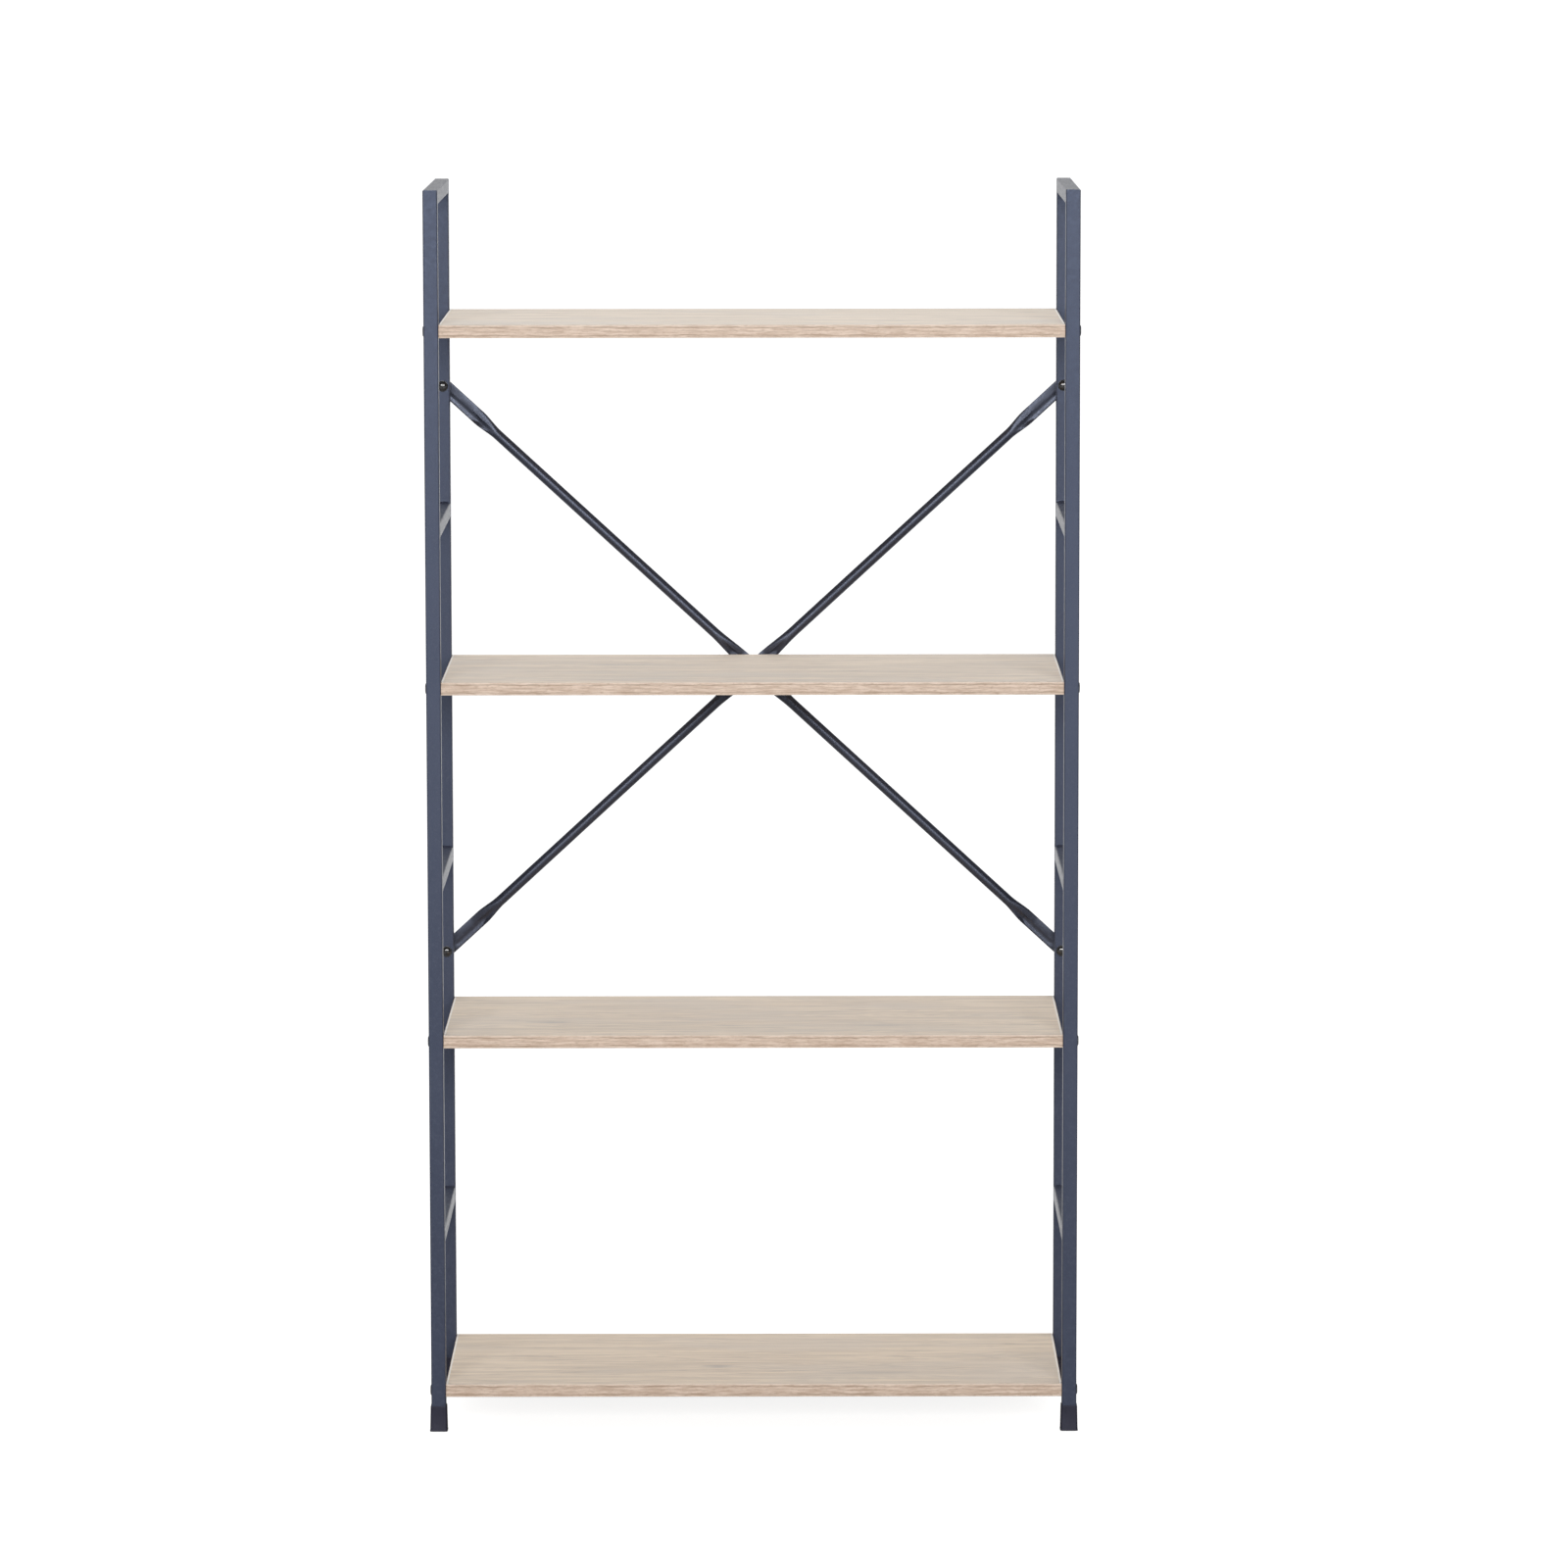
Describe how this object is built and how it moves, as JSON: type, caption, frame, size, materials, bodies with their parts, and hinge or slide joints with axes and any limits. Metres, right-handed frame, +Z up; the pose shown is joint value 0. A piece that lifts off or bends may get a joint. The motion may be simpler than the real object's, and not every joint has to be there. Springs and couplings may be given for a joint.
{
  "type": "shelving unit",
  "caption": "Open shelving unit: welded square-tube side frames with cross bars, wood-look boards bolted between them and a flattened-tube X-brace behind.",
  "frame": {"origin": "on the floor under the middle of the two side frames", "axes": "+Z up, -Y the front, +X to the right as seen from the front"},
  "size_m": [0.804, 0.3302, 1.537],
  "materials": {
    "frame_paint": "slate blue powder coat, satin",
    "board_melamine": "greyish oak wood-look melamine on board, matt",
    "edge_band": "wood-look edge band, warm oak, matt",
    "foot_plastic": "near-black moulded plastic",
    "bolt_black": "black plated steel",
    "insert_steel": "zinc plated steel"
  },
  "bodies": {
    "root": {"left_front_post": "frame_paint", "left_front_foot": "foot_plastic", "left_rear_post": "frame_paint", "left_rear_foot": "foot_plastic", "left_top_bar": "frame_paint", "left_upper_bar": "frame_paint", "left_middle_bar": "frame_paint", "left_lower_bar": "frame_paint", "right_front_post": "frame_paint", "right_front_foot": "foot_plastic", "right_rear_post": "frame_paint", "right_rear_foot": "foot_plastic", "right_top_bar": "frame_paint", "right_upper_bar": "frame_paint", "right_middle_bar": "frame_paint", "right_lower_bar": "frame_paint", "bottom_board": "board_melamine", "bottom_edge_bands": "edge_band", "bottom_inserts": "insert_steel", "bottom_bolts": "bolt_black", "third_board": "board_melamine", "third_edge_bands": "edge_band", "third_inserts": "insert_steel", "third_bolts": "bolt_black", "second_board": "board_melamine", "second_edge_bands": "edge_band", "second_inserts": "insert_steel", "second_bolts": "bolt_black", "top_board": "board_melamine", "top_edge_bands": "edge_band", "top_inserts": "insert_steel", "top_bolts": "bolt_black", "falling_brace": "frame_paint", "rising_brace": "frame_paint", "brace_bolts": "bolt_black", "brace_nuts": "bolt_black", "brace_middle_rivet": "bolt_black"}
  },
  "joints": []
}
